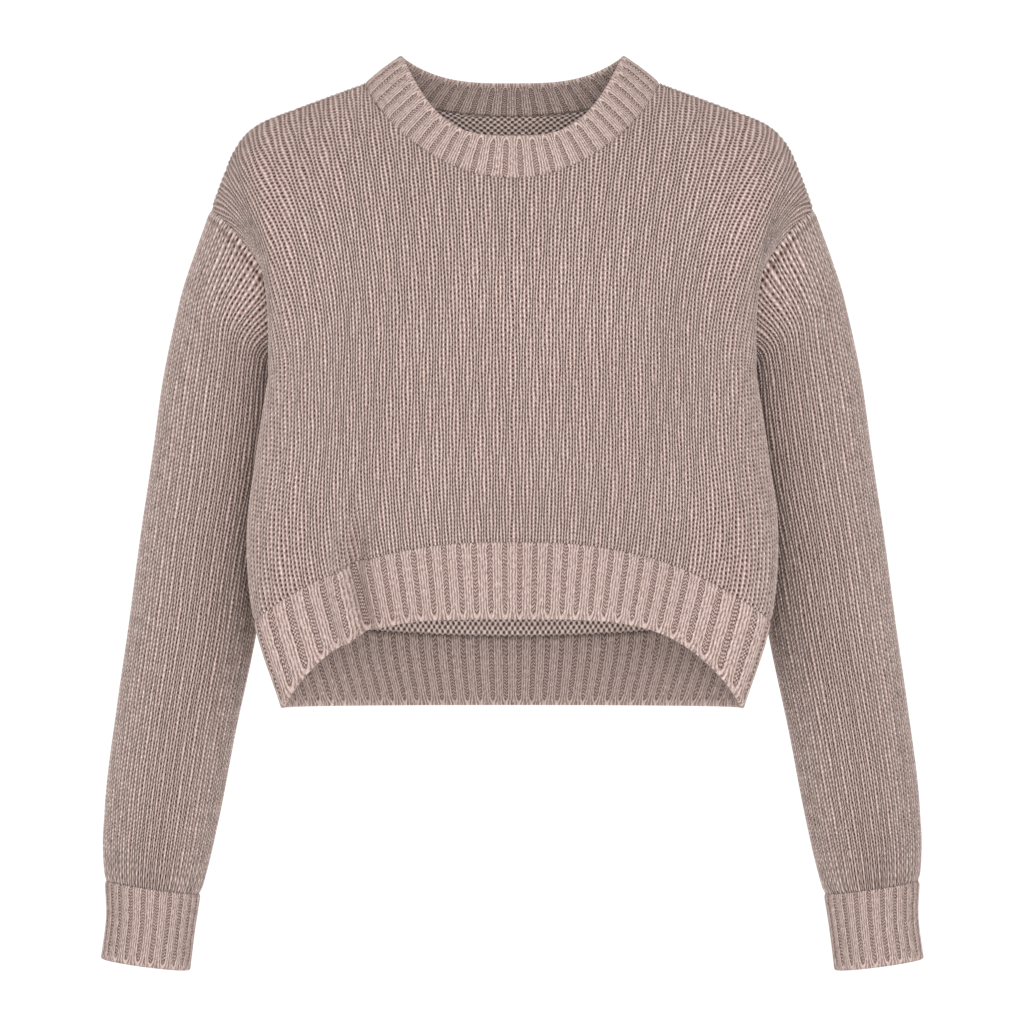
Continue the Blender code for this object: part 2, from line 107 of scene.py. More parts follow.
SLEEVE_COLUMNS = ("along", "x", "y", "z", "half_width", "half_depth", "tilt")
SLEEVE_RINGS = {
    "cap":      (0.10, 0.2006, 0.033, -0.186, 0.0500, 0.0485, 37.0),
    "biceps":   (0.21, 0.2070, 0.041, -0.233, 0.0505, 0.0465, 24.0),
    "upper":    (0.32, 0.2135, 0.045, -0.279, 0.0493, 0.0450, 17.0),
    "elbow":    (0.48, 0.2248, 0.050, -0.343, 0.0472, 0.0440, 10.0),
    "forearm":  (0.61, 0.2335, 0.050, -0.400, 0.0460, 0.0425, 10.0),
    "lower":    (0.74, 0.2438, 0.048, -0.458, 0.0440, 0.0410, 9.5),
    "wrist":    (0.91, 0.2555, 0.045, -0.534, 0.0410, 0.0385, 9.0),
    "gather":   (0.985, 0.2598, 0.043, -0.569, 0.0372, 0.0360, 8.0),
    "cuff_top": (1.0, 0.2610, 0.042, -0.582, 0.0350, 0.0340, 8.0),
}
CUFF_RINGS = {
    "top":    (0.0, 0.2610, 0.042, -0.582, 0.0350, 0.0340, 8.0),
    "mid":    (0.5, 0.2625, 0.041, -0.608, 0.0325, 0.0318, 8.0),
    "end":    (1.0, 0.2660, 0.040, -0.6365, 0.0325, 0.0318, 7.6),
}

# Soft folds of the front: the share of the panel where each runs and how far it drifts, the
# courses where it begins and is full, its width as a share, and its height in metres.
FOLD_COLUMNS = ("share", "drift", "start", "full", "width", "height")
FRONT_FOLDS = {
    "wearers_right": (-0.49, -0.085, 90, 120, 0.040, 0.0170),
    "wearers_left":  (0.66, 0.00, 60, 116, 0.130, 0.0030),
}
FOLD_STEEPNESS = 1.6            # of the ridge on one side of a fold and the valley on the other

# ---------------------------------------------------------------- the knitting
PANEL_WALES = 46                # of the front and of the back, from the centre to a side
SLEEVE_WALES = 52
SLEEVE_COURSES = 128
SLEEVE_SPREAD = 0.14            # the sleeve's wales are spread wider at its two sides
SPREAD_GROWN = 0.15             # share of the sleeve's length by which they are
RIBS = {"hem_rib_front": 38, "hem_rib_back": 36, "cuff": 22, "neckband": 50}
RIB_COURSES = {"hem": 17, "cuff": 21, "neckband": 12}

KNIT_THICK = 0.0026             # of the wall, from its face to the wrong side
RIB_THICK = 0.0034
STITCH_DEPTH = 0.0011           # from a leg's crown down into the gap between two wales
RIB_DEPTH = 0.0015
EDGE_TUCK = 0.0012              # how far a piece's edge turns into its seam
TUCK_STITCHES = 1.2             # how many stitches of it turn in

# How the wales wander: each row is the turns over all of the wales, the turn from one course to
# the next and where it begins, both in radians.
WAVER = 0.06                    # wales
WAVER_TURNS = ((13, 0.11, 0.0), (29, -0.19, 1.7), (43, 0.43, 0.6))

# The wales lean outwards as they climb, and the outermost end at the armhole seam: how far (in
# shares of the panel) and between which shares.
WALE_LEAN = 0.19
LEAN_SHARES = (0.40, 1.0)
OPEN_COURSES = 42               # below the shoulder seam, where the knitting is pulled open
SHOULDER_OPENING = 0.5          # how far it is at the shoulder seam itself
OPEN_PITCH = {"panel": 0.0045, "sleeve": 0.0068}    # a wale wider than this is pulled open
MOST_OPEN = 0.6                 # that a wide wale can be
SIDE_EASE = 0.035               # beside the armhole the wales are drawn this far inwards
EASE_COURSES = (40, 80, 110)    # grows to the first, fades from the second to the third

# A stitch has four columns of points across and two rows down.  At the head of the stitch its
# two legs lie apart, at its foot they come together; heights are shares of STITCH_DEPTH.
STITCH_ROWS = {
    "head": {"places": (0.0, 0.23, 0.5, 0.77), "heights": (-0.60, 0.15, -0.85, 0.15)},
    "foot": {"places": (0.0, 0.28, 0.5, 0.72), "heights": (-1.00, 0.20, -0.50, 0.20)},
}
INNER_ROWS = 4                  # the wrong side keeps every fourth row of points
INNER_COLUMNS = 2               # and every second column

# Across a rib, places are shares of the rib and its groove, from the middle of the groove.
RIB_POINTS = 12                 # columns of points across one rib and its groove
GROOVE_FLOOR = 0.07
GROOVE_SLOPE = 0.14
LEG_CREST = 0.23                # of the first leg beside the groove
LEG_PITCH = 0.18                # from there to the next
LEG_LIFT = 0.12                 # share of RIB_DEPTH
GROOVE_ENDS = (0.4, 0.9)        # courses from the seam and from the edge
GROOVE_CLOSING = 1.4            # courses in which a groove runs out
EDGE_ROWS = 6                   # rows of points round a cast-off edge, with its two ends
EDGE_ROUND = 0.8                # how full that edge is

# Each piece as it was knitted, before it was filled out: width, length, area, what holds it
CUTS = {
    "front":         (0.52, 0.373, 0.176, ["back", "neckband"]),
    "back":          (0.52, 0.430, 0.170, ["neckband"]),
    "hem_rib_front": (0.49, 0.055, 0.0265, ["front"]),
    "hem_rib_back":  (0.40, 0.055, 0.0215, ["back"]),
    "sleeve":        (0.335, 0.425, 0.115, ["front", "back"]),
    "cuff":          (0.210, 0.055, 0.0115, ["sleeve_SIDE"]),
    "neckband":      (0.62, 0.034, 0.0200, ["front", "back"]),
}

# ---------------------------------------------------------------- the studio, metres and watts
CAMERA_AWAY = 5.0
CAMERA_X = -0.0002
CAMERA_HEIGHT = -0.3096
VIEW_WIDTH = 0.7373             # across the picture, where the origin is
FRAME_WIDTH = 36.0              # of the camera's own frame, millimetres
FLOOR_BELOW = 0.35
FLOOR_REACH = 2.5
SURROUNDINGS = 1.06             # brightness of the white all round
# Soft round lamps: where each stands, how wide it is and its power.
LAMPS = {
    "key": ((-1.2, -2.6, 1.3), 2.4, 25.0),
    "fill": ((1.5, -2.8, 0.2), 2.4, 14.0),
    "front": ((0.1, -3.4, -0.25), 1.3, 68.0),
    "top": ((0.0, -0.3, 2.2), 2.0, 7.0),
}
LAMPS_AIM = (0.0, 0.0, -0.3)


# ---------------------------------------------------------------- small tools
def smooth(value):
    """Ease from 0 to 1."""
    value = np.clip(value, 0.0, 1.0)
    return value * value * (3.0 - 2.0 * value)


def unit(vectors):
    length = np.linalg.norm(vectors, axis=-1, keepdims=True)
    return vectors / np.maximum(length, 1e-12)


def read_table(table, columns, place):
    """Read every column of a table at a place along its first column, as a smooth curve."""
    rows = np.array(list(table.values()), dtype=float)
    knots = rows[:, 0]
    slopes = np.gradient(rows, knots, axis=0)
    place = np.clip(place, knots[0], knots[-1])
    low = np.clip(np.searchsorted(knots, place, side="right") - 1, 0, len(knots) - 2)
    span = knots[low + 1] - knots[low]
    part = (place - knots[low]) / span
    value = ((1 + 2 * part) * (1 - part) ** 2 * rows[low]
             + part * (1 - part) ** 2 * span * slopes[low]
             + part ** 2 * (3 - 2 * part) * rows[low + 1]
             - part ** 2 * (1 - part) * span * slopes[low + 1])
    return dict(zip(columns, value))


def slope_along(points, axis, around):
    """Change from point to point along a row (axis 1) or a column (axis 0) of a grid."""
    if around:
        return (np.roll(points, -1, axis=axis) - np.roll(points, 1, axis=axis)) / 2
    return np.gradient(points, axis=axis)


def surface_normals(points, around):
    """Directions square to a grid; out of it where its columns run left to right in front."""
    return unit(np.cross(slope_along(points, 0, False), slope_along(points, 1, around)))


# ---------------------------------------------------------------- the form of the body
def shoulder_seam(share):
    """Points of the shoulder seam's line; share 0 is the middle of the neck, 1 the armhole."""
    steps = np.linspace(0.0, SHOULDER_LENGTH, 240)
    turn = smooth((steps - SHOULDER_TURN[0]) / (SHOULDER_TURN[1] - SHOULDER_TURN[0]))
    angle = SHOULDER_SLOPE + (SHOULDER_FALL - SHOULDER_SLOPE) * turn
    step = steps[1]
    out = NECK_HALF_WIDTH + np.concatenate([[0.0], np.cumsum(np.cos(angle[1:]) * step)])
    down = -np.concatenate([[0.0], np.cumsum(np.sin(angle[1:]) * step)])
    length = np.abs(share) * (NECK_HALF_WIDTH + SHOULDER_LENGTH)
    beyond = length - NECK_HALF_WIDTH
    x = np.where(beyond < 0, length, np.interp(beyond, steps, out))
    z = np.where(beyond < 0, 0.0, np.interp(beyond, steps, down))
    y = RIDGE_Y + (TIP_Y - RIDGE_Y) * smooth(beyond / SHOULDER_LENGTH)
    return np.stack([np.sign(share) * x, y, z], axis=-1)


def ring_outline(ring, angle):
    """Points of one half ring in plan and height; angle 0 is centre front, pi centre back."""
    ahead = angle <= math.pi / 2
    power = 2.0 / np.where(ahead, ring["front_square"], ring["back_square"])
    sine = np.maximum(np.sin(angle), 0.0) ** power
    cosine = np.abs(np.cos(angle)) ** power
    x = ring["half_width"] * sine
    y = ring["wide_y"] + np.where(ahead, -ring["front_depth"], ring["back_depth"]) * cosine
    seam = math.radians(ring["seam_angle"])
    seam_sine = math.sin(seam) ** (2.0 / ring["back_square"])
    rise = np.where(ahead, sine, 1.0) ** ring["arch"]
    fall = np.minimum(sine / seam_sine, 1.0) ** 2
    z_front = ring["front_z"] + (ring["side_z"] - ring["front_z"]) * rise
    z_back = ring["back_z"] + (ring["side_z"] - ring["back_z"]) * fall
    return np.stack([x, y, np.where(angle <= seam + 1e-9, z_front, z_back)], axis=-1)


def ring_angles(ring, share, back):
    """Angle round the ring for each share of the panel, with the stitches evenly laid."""
    seam = math.radians(ring["seam_angle"])
    angles = np.linspace(math.pi, seam, 160) if back else np.linspace(0.0, seam, 160)
    points = ring_outline(ring, angles)[:, :2]
    step = np.linalg.norm(np.diff(points, axis=0), axis=1)
    middle = (angles[1:] + angles[:-1]) / 2
    turned = math.pi - middle if back else middle
    reach = SPREAD_ANGLES[1] - SPREAD_ANGLES[0]
    stitch = 1.0 + SIDE_SPREAD * smooth((turned - SPREAD_ANGLES[0]) / reach)
    travel = np.concatenate([[0.0], np.cumsum(step / stitch)])
    return np.interp(np.abs(share), travel / travel[-1], angles)


def body_row(share, course, back):
    """One row of the body below the underarm."""
    ring = read_table(BODY_RINGS, RING_COLUMNS, course)
    points = ring_outline(ring, ring_angles(ring, share, back))
    points[:, 0] *= np.sign(share)
    return points


def armhole_seam(part, back):
    """Armhole seam from the shoulder (0) to the underarm (1), down the front or the back."""
    tip = shoulder_seam(np.array([1.0]))[0]
    under = body_row(np.array([1.0]), YOKE_COURSES, False)[0]
    angle = np.asarray(part) * math.pi
    middle = (tip + under) / 2
    radius = (tip - under) / 2
    along_arm = unit(np.array([radius[2], 0.0, -radius[0]]))
    across = np.array([0.0, 1.0 if back else -1.0, 0.0])
    reach = ARMHOLE_HALF_DEPTH * np.sin(angle) * (1.0 + ARMHOLE_LEAN * np.cos(angle))
    return (middle + np.cos(angle)[:, None] * radius + reach[:, None] * across
            - (ARMHOLE_BOW * np.sin(angle) ** 2)[:, None] * along_arm)


def yoke_curve(start, end, heading, angle, back):
    """One wale of the yoke: level at the shoulder seam, along heading where the body begins."""
    face = "back" if back else "front"
    reach = np.sin(angle) ** YOKE_REACH[face]
    drift = np.sin(angle) ** YOKE_DRIFT
    fall = (1.0 - np.cos(angle)) ** YOKE_FALL[face]
    base = start + (end - start) * np.stack([drift, reach, fall], axis=-1)
    part = (angle / (math.pi / 2))[:, None]
    arrival = np.linalg.norm(end - start) * (heading - np.array([0.0, 0.0, -1.0]))
    return base + arrival * part ** 2 * (part - 1.0)


def evenly(line, part):
    """Points at the given parts of a line's length."""
    step = np.linalg.norm(np.diff(line, axis=0), axis=1)
    travel = np.concatenate([[0.0], np.cumsum(step)])
    place = part * travel[-1]
    return np.stack([np.interp(place, travel, line[:, axis]) for axis in range(3)], axis=-1)


def yoke(share, part, back):
    """Points of one wale of the yoke; part 0 is the shoulder seam, 1 the underarm row."""
    side = -1.0 if share < 0 else 1.0
    angles = np.linspace(0.0, math.pi / 2, 240)
    lines = []
    for place in (share, side):
        wale = np.array([place])
        start = shoulder_seam(wale)[0]
        end = body_row(wale, YOKE_COURSES, back)[0]
        heading = unit(body_row(wale, YOKE_COURSES + 1, back)[0] - end)
        lines.append(evenly(yoke_curve(start, end, heading, angles, back), part))
    seam = armhole_seam(part, back) * np.array([side, 1.0, 1.0])
    pull = smooth((abs(share) - ARMHOLE_BLEND) / (1.0 - ARMHOLE_BLEND))
    return lines[0] + pull * (seam - lines[1])


def fold_height(share, course):
    """How far the soft folds lift the front panel out of its form."""
    height = 0.0
    for row in FRONT_FOLDS.values():
        fold = dict(zip(FOLD_COLUMNS, row))
        grow = smooth((course - fold["start"]) / (fold["full"] - fold["start"]))
        offset = (share - fold["share"] - fold["drift"] * grow) / fold["width"]
        side = -np.sign(fold["share"])
        profile = FOLD_STEEPNESS * offset * np.exp(-offset ** 2)
        height = height - fold["height"] * grow * side * profile
    return height


def neckline_column(angle, back):
    """Share of the panel and part of the yoke where the neckline crosses at this angle."""
    drop = NECK_DROP_BACK if back else NECK_DROP_FRONT
    want_x = NECK_HALF_WIDTH * math.sin(angle)
    want_z = -drop * max(math.cos(angle), 0.0) ** NECK_ROUND
    share = want_x / (NECK_HALF_WIDTH + SHOULDER_LENGTH)
    parts = np.linspace(0.0, 0.8, 240)
    for _ in range(4):
        line = yoke(share, parts, back)
        part = float(np.interp(-want_z, -line[:, 2], parts))
        here_x = float(np.interp(part, parts, line[:, 0]))
        if here_x > 1e-6:
            share *= want_x / here_x
    return share, part


def neckline(back):
    """The neckline of the right-hand half: shares of the panel, and parts of the yoke."""
    rows = [neckline_column(angle, back) for angle in np.linspace(0.0, math.pi / 2, 40)]
    return np.array(rows).T


def panel_form(shares, courses, back):
    """Points of the front or the back, a row for each course and a column for each share."""
    in_yoke = courses <= YOKE_COURSES
    parts = courses[in_yoke] / YOKE_COURSES
    top = np.stack([yoke(share, parts, back) for share in shares], axis=1)
    rows = [body_row(shares, course, back) for course in courses[~in_yoke]]
    points = np.concatenate([top, np.array(rows).reshape(-1, len(shares), 3)])
    normals = surface_normals(points, False) * (-1.0 if back else 1.0)
    if not back:
        lift = fold_height(shares[None, :], courses[:, None])
        points = points + normals * lift[..., None]
        normals = surface_normals(points, False)
    return points, normals


def sleeve_ring(ring, around):
    """One ring of the sleeve; angle 0 is the outer side, a quarter turn on is the front."""
    tilt = math.radians(ring["tilt"])
    outward = np.array([math.cos(tilt), 0.0, math.sin(tilt)])
    forward = np.array([0.0, -1.0, 0.0])
    middle = np.array([ring["x"], ring["y"], ring["z"]])
    return (middle + ring["half_width"] * np.cos(around)[:, None] * outward
            + ring["half_depth"] * np.sin(around)[:, None] * forward)


def sleeve_row(along, around):
    """Points round the sleeve at one level, its head running on from the armhole seam."""
    first = SLEEVE_RINGS["cap"][0]
    row = sleeve_ring(read_table(SLEEVE_RINGS, SLEEVE_COLUMNS, max(along, first)), around)
    if along >= first:
        return row
    turned = around / math.pi
    front = armhole_seam(np.clip(turned, 0.0, 1.0), False)
    back = armhole_seam(np.clip(2.0 - turned, 0.0, 1.0), True)
    head = np.where((turned <= 1.0)[:, None], front, back)
    step = 0.01
    after = sleeve_ring(read_table(SLEEVE_RINGS, SLEEVE_COLUMNS, first + step), around)
    slope = (after - row) / step * first
    part = along / first
    return (head + (row - head) * part
            + (slope - (row - head)) * part ** 2 * (part - 1.0))


# ---------------------------------------------------------------- meshes
def grid_faces(ids, around, flip):
    """Two triangles for every cell of a grid of point numbers, leaning as the legs do."""
    if around:
        ids = np.concatenate([ids, ids[:, :1]], axis=1)
    a, b, c, d = ids[:-1, :-1], ids[:-1, 1:], ids[1:, 1:], ids[1:, :-1]
    left = (np.arange(a.shape[1]) % 4 < 2)[None, :] & np.ones_like(a, dtype=bool)
    first = np.where(left[..., None], np.stack([a, b, c], -1), np.stack([a, b, d], -1))
    second = np.where(left[..., None], np.stack([a, c, d], -1), np.stack([b, c, d], -1))
    faces = np.concatenate([first.reshape(-1, 3), second.reshape(-1, 3)])
    whole = ((faces[:, 0] != faces[:, 1]) & (faces[:, 1] != faces[:, 2])
             & (faces[:, 2] != faces[:, 0]))
    faces = faces[whole]
    return faces[:, ::-1] if flip else faces


def joined_edges(one, other, around=False):
    """A strip of triangles between two lines of point numbers, however many each one has."""
    one = list(dict.fromkeys(one)) if not around else list(one) + [one[0]]
    other = list(dict.fromkeys(other)) if not around else list(other) + [other[0]]
    faces = []
    i = 0
    j = 0
    while i < len(one) - 1 or j < len(other) - 1:
        ahead = (i + 1) / (len(one) - 1) if i < len(one) - 1 else 2.0
        beside = (j + 1) / (len(other) - 1) if j < len(other) - 1 else 2.0
        if ahead <= beside:
            faces.append((one[i], one[i + 1], other[j]))
            i += 1
        else:
            faces.append((one[i], other[j + 1], other[j]))
            j += 1
    return np.array(faces)


def mesh_piece(name, points, faces, stitches, extra, materials, inner_from, bake):
    """A smooth mesh with its map of stitches; faces from inner_from on are the inside.

    extra is the name and the values of one more number that every point has.
    """
    mesh = bpy.data.meshes.new(name)
    mesh.vertices.add(len(points))
    mesh.vertices.foreach_set("co", points.astype(np.float32).ravel())
    mesh.loops.add(faces.size)
    mesh.loops.foreach_set("vertex_index", faces.astype(np.int32).ravel())
    mesh.polygons.add(len(faces))
    mesh.polygons.foreach_set("loop_start", np.arange(0, faces.size, 3, dtype=np.int32))
    inside = (np.arange(len(faces)) >= inner_from).astype(np.int32)
    mesh.polygons.foreach_set("material_index", inside)
    mesh.update(calc_edges=True)
    for label, values in (("stitches", stitches), ("OFBake", bake)):
        layer = mesh.uv_layers.new(name=label)
        layer.uv.foreach_set("vector", values[faces.ravel()].astype(np.float32).ravel())
    label, values = extra
    attribute = mesh.attributes.new(label, "FLOAT", "POINT")
    attribute.data.foreach_set("value", values.astype(np.float32))
    mesh.shade_smooth()
    for material in materials:
        mesh.materials.append(material)
    piece = bpy.data.objects.new(name, mesh)
    bpy.context.scene.collection.objects.link(piece)
    return piece


def closed_shell(name, outer, inner, around, materials):
    """Join an outer and an inner grid, given as (points, stitches, loose, first row), into one.

    The first row of a column is where it begins; the points above it are not used.
    """
    numbers = []
    start = 0
    for points, stitches, loose, first in (outer, inner):
        rows, columns = points.shape[:2]
        row = np.maximum(np.arange(rows)[:, None], first[None, :])
        numbers.append(start + row * columns + np.arange(columns)[None, :])
        start += rows * columns
    out, into = numbers
    edges = [(out[0], into[0], True), (out[-1], into[-1], False)]
    if not around:
        edges += [(out[:, 0], into[:, 0], False), (out[:, -1], into[:, -1], True)]
    parts = []
    for one, other, turned in edges:
        strip = joined_edges(one, other, around)
        parts.append(strip[:, ::-1] if turned else strip)
    parts.append(grid_faces(out, around, False))
    inner_from = sum(len(part) for part in parts)
    parts.append(grid_faces(into, around, True))
    faces = np.concatenate(parts)
    points = np.concatenate([outer[0].reshape(-1, 3), inner[0].reshape(-1, 3)])
    stitches = np.concatenate([outer[1].reshape(-1, 2), inner[1].reshape(-1, 2)])
    loose = np.concatenate([outer[2].ravel(), inner[2].ravel()])
    bake = bake_places(outer[1], inner[1])
    used, back_to = np.unique(faces, return_inverse=True)
    faces = back_to.reshape(faces.shape)
    return mesh_piece(name, points[used], faces, stitches[used], ("loose", loose[used]),
                      materials, inner_from, bake[used])


def bake_places(outer, inner):
    """A flat place for every point: the outside in the left three quarters, the inside right."""
    places = []
    for stitches, left, width in ((outer, 0.005, 0.735), (inner, 0.755, 0.24)):
        low = stitches.min(axis=(0, 1))
        span = stitches.max(axis=(0, 1)) - low
        place = (stitches - low) / span * np.array([width, 0.99])
        places.append((place + np.array([left, 0.005])).reshape(-1, 2))
    return np.concatenate(places)


# ---------------------------------------------------------------- stockinette
def stitch_columns(wales):
    """Even columns of points, four to a wale, counted in wales from the middle."""
    return np.arange(-wales * 4, wales * 4 + 1) / 4


def waver(wale, course, wales):
    """How far the wales wander sideways, in wales; it comes round again after all of them."""
    turn = wale * 2 * math.pi / wales
    return WAVER * sum(np.sin(turn * turns + course * lean + begin)
                       for turns, lean, begin in WAVER_TURNS)


def stitch_relief(points, normals, wales, courses, around):
    """Shift and lift a grid's points into stitches; returns them, their map and how open it is."""
    column = np.arange(points.shape[1]) % 4
    foot = np.arange(points.shape[0]) % 2 == 1
    places = np.where(foot[:, None], np.take(STITCH_ROWS["foot"]["places"], column)[None, :],
                      np.take(STITCH_ROWS["head"]["places"], column)[None, :])
    heights = np.where(foot[:, None], np.take(STITCH_ROWS["foot"]["heights"], column)[None, :],
                       np.take(STITCH_ROWS["head"]["heights"], column)[None, :])
    shift = places - (column / 4)[None, :]
    across = slope_along(points, 1, around) * 4
    lean = waver(wales[None, :], courses[:, None], points.shape[1] / 4)
    pitch = np.linalg.norm(across, axis=-1)
    loose = np.clip(pitch / OPEN_PITCH["sleeve" if around else "panel"] - 1.0, 0.0, MOST_OPEN)
    if not around:
        loose = loose + SHOULDER_OPENING * (1.0 - smooth(courses[:, None] / OPEN_COURSES))
    moved = points + across * (shift + lean)[..., None]
    lifted = moved + normals * (heights * STITCH_DEPTH)[..., None]
    stitches = np.stack([wales[None, :] + shift, np.broadcast_to(courses[:, None], shift.shape)],
                        axis=-1)
    return lifted, stitches, loose


def tuck_edges(points, normals, distance):
    """Turn a piece's edges into their seam; distance is how many stitches away the edge is."""
    depth = EDGE_TUCK * np.clip(1.0 - distance / TUCK_STITCHES, 0.0, 1.0) ** 2
    return points - normals * depth[..., None]


def leaning_places(shares, courses):
    """Share of the form where each wale is at each course; beyond 1 it has met the armhole."""
    low, high = LEAN_SHARES
    reach = smooth((np.abs(shares) - low) / (high - low))
    climb = 1.0 - smooth(courses / YOKE_COURSES)
    outer = np.clip((np.abs(shares) - low) / (high - low), 0.0, 1.0)
    ease = 27 / 4 * outer ** 2 * (1.0 - outer)      # 1 where it is most
    grown, fading, gone = EASE_COURSES
    when = smooth(courses / grown) * (1.0 - smooth((courses - fading) / (gone - fading)))
    shift = WALE_LEAN * reach[None, :] * climb[:, None] - SIDE_EASE * ease[None, :] * when[:, None]
    return shares[None, :] + np.sign(shares)[None, :] * shift


def slide(points, shares, places):
    """Read a grid at other places along its rows."""
    moved = np.empty_like(points)
    for row in range(len(points)):
        for axis in range(3):
            moved[row, :, axis] = np.interp(places[row], shares, points[row, :, axis])
    return moved


def begin_at(points, courses, starts):
    """Move the row above a piece's upper edge onto it; returns the first row of each column."""
    first = np.clip(np.searchsorted(courses, starts, side="right") - 1, 0, None)
    for column, start in enumerate(starts):
        row = first[column]
        if start > 0:
            share = (start - courses[row]) / (courses[row + 1] - courses[row])
            points[row, column] += (points[row + 1, column] - points[row, column]) * share
    return first


def knit_panel(name, back, materials):
    """The front or the back: stockinette from the shoulder seam down to the ribbing."""
    wales = stitch_columns(PANEL_WALES)
    courses = np.arange(0, RIB_TOP_COURSE * 2 + 1) / 2
    shares = wales / PANEL_WALES
    form, normals = panel_form(shares, courses, back)
    places = leaning_places(shares, courses)
    form = slide(form, shares, places)
    normals = unit(slide(normals, shares, places))
    if back:
        wales = -wales
    neck_share, neck_part = neckline(back)
    starts = np.interp(np.abs(shares), neck_share, neck_part * YOKE_COURSES, right=0.0)
    in_yoke = courses <= YOKE_COURSES
    for column, place in enumerate(np.abs(places[in_yoke]).T):
        if place[0] > 1.0:
            starts[column] = np.interp(-1.0, -place, courses[in_yoke])
    points, stitches, loose = stitch_relief(form, normals, wales, courses, False)
    side = PANEL_WALES * np.maximum(1.0 - np.abs(places), 0.0)
    top = np.abs(courses[:, None] - starts[None, :])
    bottom = (RIB_TOP_COURSE - courses)[:, None]
    distance = np.minimum(np.minimum(side, top), bottom)
    points = tuck_edges(points, normals, distance)
    first = begin_at(points, courses, starts)
    inner = (form - normals * KNIT_THICK)[::INNER_ROWS, ::INNER_COLUMNS]
    inner_courses = courses[::INNER_ROWS]
    inner_wales = wales[::INNER_COLUMNS]
    inner_first = begin_at(inner, inner_courses, starts[::INNER_COLUMNS])
    inner_map = np.stack(np.broadcast_arrays(inner_wales[None, :], inner_courses[:, None]), -1)
    outside = (points, stitches, loose, first)
    inside = (inner, inner_map, loose[::INNER_ROWS, ::INNER_COLUMNS], inner_first)
    if back:
        outside, inside = (tuple(np.flip(grid, 1) if grid.ndim > 1 else grid[::-1]
                                 for grid in grids) for grids in (outside, inside))
    return closed_shell(name, outside, inside, False, materials)


def tube_for(side, form):
    """Points and normals of a tube formed for the left arm, mirrored where it is the right."""
    normals = -surface_normals(form, True)
    if side == "left":
        return form[:, ::-1], normals[:, ::-1]
    mirror = np.array([-1.0, 1.0, 1.0])
    return form * mirror, normals * mirror


def knit_sleeve(name, side, materials):
    """A drop-shoulder sleeve: rounds of stockinette from the armhole seam to the cuff."""
    wales = np.arange(0, SLEEVE_WALES * 4) / 4
    courses = np.arange(0, SLEEVE_COURSES * 2 + 1) / 2
    turned = wales / SLEEVE_WALES * 2 * math.pi
    rows = []
    for along in courses / SLEEVE_COURSES:
        spread = SLEEVE_SPREAD * smooth(along / SPREAD_GROWN)
        rows.append(sleeve_row(along, turned + spread * np.sin(2.0 * turned)))
    form, normals = tube_for(side, np.stack(rows))
    points, stitches, loose = stitch_relief(form, normals, wales, courses, True)
    distance = np.minimum(courses, SLEEVE_COURSES - courses)[:, None] + np.zeros(len(wales))
    points = tuck_edges(points, normals, distance)
    inner = (form - normals * KNIT_THICK)[::INNER_ROWS, ::INNER_COLUMNS]
    inner_map = np.stack(np.broadcast_arrays(wales[None, ::INNER_COLUMNS],
                                             courses[::INNER_ROWS, None]), -1)
    inner_loose = loose[::INNER_ROWS, ::INNER_COLUMNS]
    outside = (points, stitches, loose, np.zeros(points.shape[1], dtype=int))
    inside = (inner, inner_map, inner_loose, np.zeros(inner.shape[1], dtype=int))
    return closed_shell(name, outside, inside, True, materials)


# ---------------------------------------------------------------- ribbing
def rib_height(rib, course, courses):
    """Lift of the ribbing: two raised wales, then a groove that closes before both edges."""
    from_groove = np.abs(rib - np.round(rib))
    groove = 1.0 - smooth((from_groove - GROOVE_FLOOR) / GROOVE_SLOPE)
    from_seam, from_edge = GROOVE_ENDS
    closing = (smooth((courses - from_edge - course) / GROOVE_CLOSING)
               * smooth((course - from_seam) / GROOVE_CLOSING))
    legs = LEG_LIFT * np.cos(2 * math.pi * (from_groove - LEG_CREST) / LEG_PITCH)
    return RIB_DEPTH * (legs * (1.0 - groove) - groove * closing)


